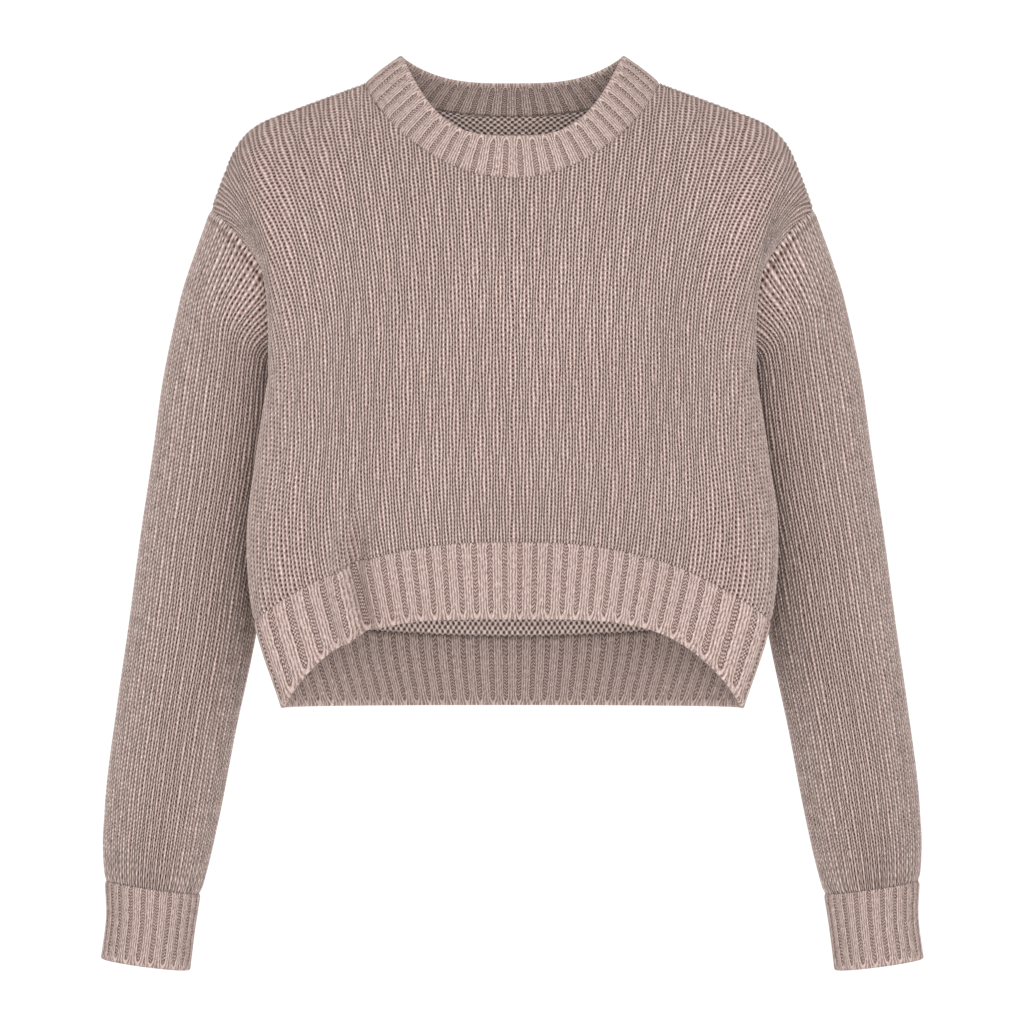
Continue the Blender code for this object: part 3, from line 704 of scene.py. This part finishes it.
def rib_piece(name, form, normals, ribs, courses, around, materials):
    """Ribbing on a form: its outer face, its rounded edge, and its inner face turned back."""
    count = courses[-1]
    lift = rib_height(ribs[None, :], courses[:, None], count)
    outer = form + normals * lift[..., None]
    outer = tuck_edges(outer, normals, np.broadcast_to(courses[:, None], lift.shape))
    coarse = courses[::2]
    inner_lift = rib_height(ribs[None, :] + 0.5, coarse[:, None], count)
    thick = normals[::2] * RIB_THICK
    inner = form[::2] - thick - normals[::2] * (inner_lift * 0.5)[..., None]
    down = unit(form[-1] - form[-3])
    arc = []
    middle = (outer[-1] + inner[-1]) / 2
    reach = (outer[-1] - inner[-1]) / 2
    radius = EDGE_ROUND * np.linalg.norm(reach, axis=-1, keepdims=True)
    for angle in np.linspace(0.0, math.pi, EDGE_ROWS)[1:-1]:
        arc.append(middle + reach * math.cos(angle) + down * radius * math.sin(angle))
    points = np.concatenate([outer, np.stack(arc), inner[::-1]])
    edge_courses = np.linspace(count, count + 1.0, len(arc) + 1)[1:]
    course_map = np.concatenate([courses, edge_courses, count + 1.0 + coarse])
    stitches = np.stack(np.broadcast_arrays(ribs[None, :], course_map[:, None]), -1)
    to_edge = np.concatenate([count - courses, np.zeros(len(arc)), count - coarse[::-1]])
    to_edge = np.broadcast_to(to_edge[:, None], stitches.shape[:2])
    ids = np.arange(points.shape[0] * points.shape[1]).reshape(points.shape[:2])
    parts = [grid_faces(ids, around, False)]
    strip = joined_edges(ids[0], ids[-1], around)
    parts.append(strip[:, ::-1])
    if not around:
        for column, turned in ((0, False), (-1, True)):
            loop = ids[:, column]
            half = len(courses) + len(arc) // 2
            strip = joined_edges(loop[:half], loop[half:][::-1])
            parts.append(strip[:, ::-1] if turned else strip)
    faces = np.concatenate(parts)
    low = stitches.min(axis=(0, 1))
    span = stitches.max(axis=(0, 1)) - low
    bake = ((stitches - low) / span * 0.99 + 0.005).reshape(-1, 2)
    return mesh_piece(name, points.reshape(-1, 3), faces, stitches.reshape(-1, 2),
                      ("to_edge", to_edge.ravel()), materials, len(faces), bake)


def hem_ribbing(name, back, materials):
    """The ribbed border of the front or the back."""
    repeats = RIBS["hem_rib_back" if back else "hem_rib_front"]
    ribs = np.arange(0, repeats * RIB_POINTS + 1) / RIB_POINTS
    courses = np.arange(0, RIB_COURSES["hem"] * 2 + 1) / 2
    shares = ribs / repeats * 2.0 - 1.0
    reach = (HEM_COURSE - RIB_TOP_COURSE) / RIB_COURSES["hem"]
    form, normals = panel_form(shares, RIB_TOP_COURSE + courses * reach, back)
    if back:
        form = form[:, ::-1]
        normals = normals[:, ::-1]
    return rib_piece(name, form, normals, ribs + 0.5, courses, False, materials)


def cuff(name, side, materials):
    """A ribbed cuff."""
    ribs = np.arange(0, RIBS["cuff"] * RIB_POINTS) / RIB_POINTS
    courses = np.arange(0, RIB_COURSES["cuff"] * 2 + 1) / 2
    turned = ribs / RIBS["cuff"] * 2 * math.pi
    rings = [sleeve_ring(read_table(CUFF_RINGS, SLEEVE_COLUMNS, along), turned)
             for along in courses / courses[-1]]
    form, normals = tube_for(side, np.stack(rings))
    return rib_piece(name, form, normals, ribs, courses, True, materials)


def neck_seam():
    """The neckline all round, from the wearer's right over the front: points and normals."""
    points = []
    normals = []
    for back in (False, True):
        shares, parts = neckline(back)
        shares = np.concatenate([-shares[:0:-1], shares])
        parts = np.concatenate([parts[:0:-1], parts])
        line = []
        facing = []
        for share, part in zip(shares, parts):
            here = yoke(share, np.array([part, part + 0.02]), back)
            beside = yoke(share + 0.01, np.array([part]), back)[0]
            face = unit(np.cross(here[1] - here[0], beside - here[0]))
            line.append(here[0])
            facing.append(-face if back else face)
        if back:
            line = line[::-1][1:-1]
            facing = facing[::-1][1:-1]
        points += line
        normals += facing
    return np.array(points), np.array(normals)


def neckband(name, materials):
    """The ribbed band, picked up from the neckline, leaning in to its upper edge."""
    seam, facing = neck_seam()
    count = len(seam)
    around = np.linspace(-math.pi / 2, 1.5 * math.pi, count, endpoint=False)
    ahead = np.cos(around) >= 0
    sine = np.sin(around)
    cosine = np.abs(np.cos(around))
    end_y = np.where(ahead, BAND_FRONT_Y, BAND_BACK_Y)
    end_z = np.where(ahead, BAND_FRONT_Z, BAND_BACK_Z)
    top = np.stack([BAND_HALF_WIDTH * sine, RIDGE_Y + (end_y - RIDGE_Y) * cosine,
                    BAND_SIDE_Z + (end_z - BAND_SIDE_Z) * (1.0 - np.abs(sine) ** BAND_ROUND)], -1)
    middle = (seam + top) / 2
    step = np.linalg.norm(np.roll(middle, -1, axis=0) - middle, axis=1)
    travel = np.concatenate([[0.0], np.cumsum(step)])
    ribs = np.arange(0, RIBS["neckband"] * RIB_POINTS) / RIB_POINTS
    place = ribs / RIBS["neckband"] * travel[-1]

    def spread(values):
        closed = np.concatenate([values, values[:1]])
        return np.stack([np.interp(place, travel, closed[:, axis]) for axis in range(3)], -1)

    seam = spread(seam)
    facing = unit(spread(facing))
    top = spread(top)
    courses = np.arange(0, RIB_COURSES["neckband"] * 2 + 1) / 2
    tangent = unit(np.roll(top, -1, axis=0) - np.roll(top, 1, axis=0))
    face = unit(np.cross(unit(top - seam), tangent))
    face *= np.sign(np.sum(face * facing, axis=1, keepdims=True))
    form = np.stack([seam + (top - seam) * part + face * BAND_BULGE * math.sin(math.pi * part)
                     for part in courses / courses[-1]])
    normals = np.stack([unit(facing + (face - facing) * part) for part in courses / courses[-1]])
    return rib_piece(name, form[:, ::-1], normals[:, ::-1], ribs, courses, True, materials)


# ---------------------------------------------------------------- materials
class Value:
    """A number that varies over a surface; sums and products of it add Math nodes."""

    def __init__(self, paint, socket):
        self.paint = paint
        self.socket = socket

    def math(self, operation, *others):
        values = [other.socket if isinstance(other, Value) else other for other in others]
        node = self.paint.node("ShaderNodeMath", {"operation": operation},
                               dict(enumerate([self.socket, *values])))
        return Value(self.paint, node.outputs[0])

    def __add__(self, other):
        return self.math("ADD", other)

    __radd__ = __add__

    def __mul__(self, other):
        return self.math("MULTIPLY", other)

    __rmul__ = __mul__

    def __sub__(self, other):
        return self.math("SUBTRACT", other)

    def __rsub__(self, other):
        return self * -1.0 + other

    def __truediv__(self, other):
        return self.math("DIVIDE", other)

    def __pow__(self, other):
        return self.math("POWER", other)

    def wave(self):
        """Cosine of whole turns."""
        return (self * (2 * math.pi)).math("COSINE")

    def bell(self, width):
        """1 where this is 0, fading within width."""
        scaled = self / width
        return (scaled * scaled * -1.0).math("EXPONENT")

    def clamp(self):
        return self.math("MAXIMUM", 0.0).math("MINIMUM", 1.0)


class Paint:
    """The node tree of one material."""

    def __init__(self, name):
        self.material = bpy.data.materials.new(name)
        self.material.use_nodes = True
        self.tree = self.material.node_tree
        self.shader = self.tree.nodes["Principled BSDF"]

    def node(self, kind, settings=None, sockets=None):
        """Add a node: its settings first, then the values or the links of its sockets."""
        node = self.tree.nodes.new(kind)
        for name, value in (settings or {}).items():
            setattr(node, name, value)
        for name, value in (sockets or {}).items():
            self.feed(node.inputs[name], value)
        return node

    def feed(self, socket, value):
        if isinstance(value, Value):
            value = value.socket
        if isinstance(value, bpy.types.NodeSocket):
            self.tree.links.new(value, socket)
        else:
            socket.default_value = value

    def value(self, socket):
        return Value(self, socket)

    def stitches(self):
        """Place in the knitting: wales or ribs across, courses down."""
        uv = self.node("ShaderNodeUVMap", {"uv_map": "stitches"})
        parts = self.node("ShaderNodeSeparateXYZ", None, {0: uv.outputs[0]})
        return self.value(parts.outputs[0]), self.value(parts.outputs[1])

    def number(self, label):
        """The number that every point of the piece has under this name."""
        node = self.node("ShaderNodeAttribute", {"attribute_name": label})
        return self.value(node.outputs["Fac"])

    def noise(self, across, down, scale, detail=2.0):
        """Cloudy noise, about 0 to 1, on a place in the knitting."""
        place = self.node("ShaderNodeCombineXYZ", None, {0: across, 1: down})
        node = self.node("ShaderNodeTexNoise", {"noise_dimensions": "2D"},
                         {"Vector": place.outputs[0], "Scale": scale, "Detail": detail})
        return self.value(node.outputs["Fac"])

    def cloud(self, scale, detail=2.0):
        """The same in the piece's own space, per metre."""
        space = self.node("ShaderNodeTexCoord")
        node = self.node("ShaderNodeTexNoise", None,
                         {"Vector": space.outputs["Object"], "Scale": scale, "Detail": detail})
        return self.value(node.outputs["Fac"])

    def mix(self, share, low, high):
        """A colour between two."""
        node = self.node("ShaderNodeMix", {"data_type": "RGBA"})
        self.feed(node.inputs[0], share)
        for place, colour in ((6, low), (7, high)):
            self.feed(node.inputs[place], colour if not isinstance(colour, tuple)
                      else (*colour, 1.0))
        return node.outputs[2]

    def bump(self, height, distance):
        sockets = {"Height": height, "Distance": distance, "Strength": BUMP_STRENGTH}
        return self.node("ShaderNodeBump", None, sockets).outputs[0]


YARN_CROWN_HIGHLIGHT = (0.700, 0.574, 0.528)      # painted highlight on the crown of a leg
YARN_FLANK_SHADE = (0.315, 0.220, 0.194)       # painted shade on its flanks
YARN_GAP_SHADE = (0.046, 0.0165, 0.0120)      # painted shade in the gaps between the stitches
YARN_PALE = (0.740, 0.640, 0.600)       # pale fibres of the marl
YARN_DARK = (0.200, 0.128, 0.112)       # and its dark ones
BUMP_STRENGTH = 0.9

# The wool's materials work in wales or ribs across and courses down.  What is added to a place
# before noise is read there only keeps the unevennesses apart, and off the noise's own origin.


def wool(paint, base, normal):
    """Finish common to all of the yarn: matt, with a soft nap."""
    shader = paint.shader
    paint.feed(shader.inputs["Base Color"], base)
    paint.feed(shader.inputs["Normal"], normal)
    shader.inputs["Roughness"].default_value = 0.92
    shader.inputs["Specular IOR Level"].default_value = 0.03
    shader.inputs["Sheen Weight"].default_value = 0.24
    shader.inputs["Sheen Roughness"].default_value = 0.30
    shader.inputs["Sheen Tint"].default_value = (1.00, 0.82, 0.75, 1.0)
    return paint.material


def marl(paint, across, down, base):
    """Pale and dark fibres twisted through the yarn, and a slow drift of its shade."""
    flecks = paint.noise(across * 6.0, down * 3.0, 1.0, 3.0)
    pale = ((flecks - 0.56) * 5.0).clamp() * 0.40
    dark = ((0.44 - flecks) * 5.0).clamp() * 0.45
    base = paint.mix(pale, base, YARN_PALE)
    base = paint.mix(dark, base, YARN_DARK)
    drift = (paint.cloud(14.0) - 0.5) * 0.30 + 0.10
    return paint.mix(drift.clamp(), base, YARN_DARK)


def stockinette():
    """Right side: two legs to a stitch, gaps between wales and small ones inside the V, darkened
    with painted shade, and a painted highlight on the crown of each leg.

    Where the knitting is loose the gaps are wider and longer.  Noise makes each of them longer,
    shorter or shut, and lets the wales sway and lag behind one another.
    """
    paint = Paint("wool stockinette")
    wale, course = paint.stitches()
    loose = paint.number("loose")
    sway = (paint.noise(wale * 0.9 + 7.3, course * 0.45, 1.0) - 0.5) * 0.14
    u = (wale + sway).math("FRACT")
    side = (u - 0.5).math("ABSOLUTE")
    lag = (paint.noise(wale * 0.9 + 31.4, course * 0.3, 1.0) - 0.5) * 0.5
    down = (course + lag).wave()
    leg = 0.5 - (u * 2.0).wave() * 0.5
    slant = (course + lag + side * 1.4).wave()
    uneven = paint.noise(wale * 0.8 + 13.7, course * 0.5, 1.0)
    uneven_too = paint.noise(wale * 0.8 + 57.1, course * 0.5, 1.0)
    each = paint.noise(wale * 2.1 + 91.3, course * 1.1, 1.0) - 0.5
    floor = (0.42 - loose * 0.5).clamp()
    between = ((0.5 - down * 0.5) ** (1.5 - loose * 0.6)) * (1.08 - floor) + floor
    inside = ((0.5 + down * 0.5) ** (1.5 - loose * 0.6)) * (1.04 - floor) + floor
    gap = (side - 0.5).bell(0.120 + loose * 0.075) * between
    gap = gap * ((uneven - 0.06) * 3.2 + loose * 0.8).clamp()
    notch = side.bell(0.112 + loose * 0.060) * inside
    notch = notch * ((uneven_too - 0.08) * 3.0 + loose * 0.8).clamp()
    size = paint.noise(wale * 1.9 + 23.9, course * 1.3, 1.0) * 1.5 + 0.25
    # The hollows are where the painted shade goes: the gaps between the wales and the notches
    # inside the V.
    hollow = ((gap + notch * 0.95) * size).clamp()
    fibres = paint.noise(wale * 20.0 + course * 5.0, course * 8.0, 1.0, 3.0)
    height = leg * (0.78 + slant * 0.22) - hollow * 0.7 + fibres * 0.22
    # Painted highlight on the crown of each leg, with a random tone from stitch to stitch and in
    # the fibres.
    crown = (leg * (0.66 + slant * 0.40) + fibres * 0.50 + each * 0.7 - 0.30).clamp()
    # Painted shade along the course just below the upper seam, and a painted highlight on the edge
    # course above it.
    seam = (course - 1.1).bell(0.4)
    hollow = (hollow + seam * 0.30).clamp()
    crown = (crown + (course - 0.3).bell(0.45) * 0.3).clamp()
    # From painted shade on the flanks of the legs to the painted highlight on their crowns.
    base = paint.mix(crown, YARN_FLANK_SHADE, YARN_CROWN_HIGHLIGHT)
    base = marl(paint, wale, course, base)
    # Painted shade in the hollows between and inside the stitches.
    base = paint.mix((hollow * 1.10).clamp() * 0.97, base, YARN_GAP_SHADE)
    return wool(paint, base, paint.bump(height, 0.0010))


def purl():
    """Wrong side: rows of short bumps, each between the two of the row above."""
    paint = Paint("wool wrong side")
    wale, course = paint.stitches()
    sway = (paint.noise(wale * 0.9 + 7.3, course * 0.45, 1.0) - 0.5) * 0.3
    across = (wale + sway).wave()
    rows = (course * 0.75 + sway * 0.2).wave()
    lattice = across * rows
    fibres = paint.noise(wale * 18.0 + 3.1, course * 14.0, 1.0, 3.0)
    each = paint.noise(wale * 2.0 + 41.3, course * 2.0, 1.0) - 0.5
    bump = (lattice * 0.85 + 0.55 + each * 0.8).clamp()
    # The hollows between the bumps are where the painted shade goes.
    hollow = (0.12 - lattice * 1.0 - each * 0.5).clamp()
    height = bump * 0.9 - hollow * 0.6 + fibres * 0.2
    # Painted highlight on the bumps fading to painted shade between them, with random tone in the
    # fibres.
    base = paint.mix((bump + fibres * 0.3 - 0.15).clamp(), YARN_FLANK_SHADE, YARN_CROWN_HIGHLIGHT)
    base = marl(paint, wale, course, base)
    # Painted shade in the hollows between the bumps.
    base = paint.mix(hollow * 0.85, base, YARN_GAP_SHADE)
    return wool(paint, base, paint.bump(height, 0.0012))


def ribbing():
    """Two raised wales of four legs, and a sunk wale of small purl loops with round ends."""
    paint = Paint("wool ribbing")
    rib, course = paint.stitches()
    to_edge = paint.number("to_edge")
    sway = (paint.noise(rib * 2.0 + 7.3, course * 0.5, 1.0) - 0.5) * 0.10
    t = (rib + sway).math("FRACT")
    across = (t - (t + 0.5).math("FLOOR")).math("ABSOLUTE")
    at_end = (2.9 - to_edge).math("MAXIMUM", 0.0) * 0.085
    at_start = (2.0 - course).math("MAXIMUM", 0.0) * 0.075
    ends = at_end * at_end + at_start * at_start
    from_groove = (across * across + ends) ** 0.5
    groove = 1.0 - ((from_groove - 0.135) / 0.05).clamp()
    rim = (from_groove - 0.165).bell(0.032)
    legs = ((from_groove - 0.235) / 0.18).wave()
    slant = (course * 1.1 + across * 4.0).wave()
    each = paint.noise(rib * 9.0 + 17.3, course * 1.2, 1.0) - 0.5
    twist = paint.noise(rib * 16.0 + course * 0.9, course * 0.8, 1.0) - 0.5
    loops = (rib * 6.6).wave() * (course * 1.15 + (rib * 3.3).wave() * 0.25).wave()
    fibres = paint.noise(rib * 90.0 + course * 4.0, course * 8.0, 1.0, 3.0)
    raised = 1.0 - groove
    # Painted highlight on the raised legs and on the loops in the groove, with random tone from
    # stitch to stitch and in the fibres.
    crown = raised * (legs * 0.30 + 0.30 + slant * 0.10 + twist * 1.0)
    crown = crown + groove * (0.26 + loops * 0.46)
    crown = (crown + fibres * 0.40 + each * 0.9 - 0.18).clamp()
    # Painted shade between the legs, in the groove and along its rim.
    hollow = raised * (0.08 - legs * 0.34 - twist * 1.1 - each * 0.9).clamp()
    hollow = hollow + groove * (0.44 - loops * 0.60 - each * 0.6) + rim * 0.34
    hollow = hollow.clamp()
    height = crown + fibres * 0.2 - groove * 0.4
    # From painted shade to the painted highlight on the raised legs and loops.
    base = paint.mix(crown, YARN_FLANK_SHADE, YARN_CROWN_HIGHLIGHT)
    base = marl(paint, rib * 2.5, course, base)
    # Painted shade in the groove, along its rim and between the legs.
    base = paint.mix(hollow * 0.88, base, YARN_GAP_SHADE)
    return wool(paint, base, paint.bump(height, 0.0009))


# ---------------------------------------------------------------- studio
def studio():
    """Pale floor under the sweater, white surroundings, soft light from in front, the camera."""
    scene = bpy.context.scene
    world = bpy.data.worlds.new("studio")
    world.use_nodes = True
    world.node_tree.nodes["Background"].inputs["Color"].default_value = (1.0, 1.0, 1.0, 1.0)
    world.node_tree.nodes["Background"].inputs["Strength"].default_value = SURROUNDINGS
    scene.world = world

    floor_z = CAD_BOX[0][2] - FLOOR_BELOW
    corners = [(-FLOOR_REACH, -FLOOR_REACH), (FLOOR_REACH, -FLOOR_REACH),
               (FLOOR_REACH, FLOOR_REACH), (-FLOOR_REACH, FLOOR_REACH)]
    mesh = bpy.data.meshes.new("floor")
    mesh.from_pydata([(x, y, floor_z) for x, y in corners], [], [(0, 1, 2, 3)])
    floor = bpy.data.objects.new("floor", mesh)
    scene.collection.objects.link(floor)
    paint = Paint("pale floor")
    grain = paint.cloud(3.0)
    paint.feed(paint.shader.inputs["Base Color"],
               paint.mix(grain, (0.93, 0.93, 0.93), (0.96, 0.96, 0.96)))
    paint.shader.inputs["Roughness"].default_value = 0.9
    mesh.materials.append(paint.material)

    for name, (place, size, power) in LAMPS.items():
        light = bpy.data.lights.new(name, "AREA")
        light.shape = "DISK"
        light.size = size
        light.energy = power
        lamp = bpy.data.objects.new(name, light)
        lamp.location = place
        aim = Vector(LAMPS_AIM) - Vector(place)
        lamp.rotation_euler = aim.to_track_quat("-Z", "Y").to_euler()
        scene.collection.objects.link(lamp)

    camera = bpy.data.objects.new("camera", bpy.data.cameras.new("camera"))
    camera.location = (CAMERA_X, -CAMERA_AWAY, CAMERA_HEIGHT)
    camera.rotation_euler = (math.pi / 2, 0.0, 0.0)
    camera.data.sensor_width = FRAME_WIDTH
    camera.data.lens = FRAME_WIDTH * CAMERA_AWAY / VIEW_WIDTH
    scene.collection.objects.link(camera)
    scene.camera = camera
    scene.view_settings.view_transform = "Standard"


# ---------------------------------------------------------------- the sweater
knit_faces = [stockinette(), purl()]
rib_faces = [ribbing()]

pieces = {
    "front": knit_panel("knit_front", False, knit_faces),
    "back": knit_panel("knit_back", True, knit_faces),
    "hem_rib_front": hem_ribbing("knit_hem_front", False, rib_faces),
    "hem_rib_back": hem_ribbing("knit_hem_back", True, rib_faces),
    "neckband": neckband("knit_neckband", rib_faces),
}
for hand in ("left", "right"):
    pieces[f"sleeve_{hand}"] = knit_sleeve(f"knit_sleeve_{hand}", hand, knit_faces)
    pieces[f"cuff_{hand}"] = cuff(f"knit_cuff_{hand}", hand, rib_faces)

for node, piece in pieces.items():
    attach(piece, "root")
    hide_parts(node)
    width, length, area, hangs_from = CUTS[node.replace("_left", "").replace("_right", "")]
    [name.replace("SIDE", node[node.rfind("_") + 1:]) for name in hangs_from]

studio()
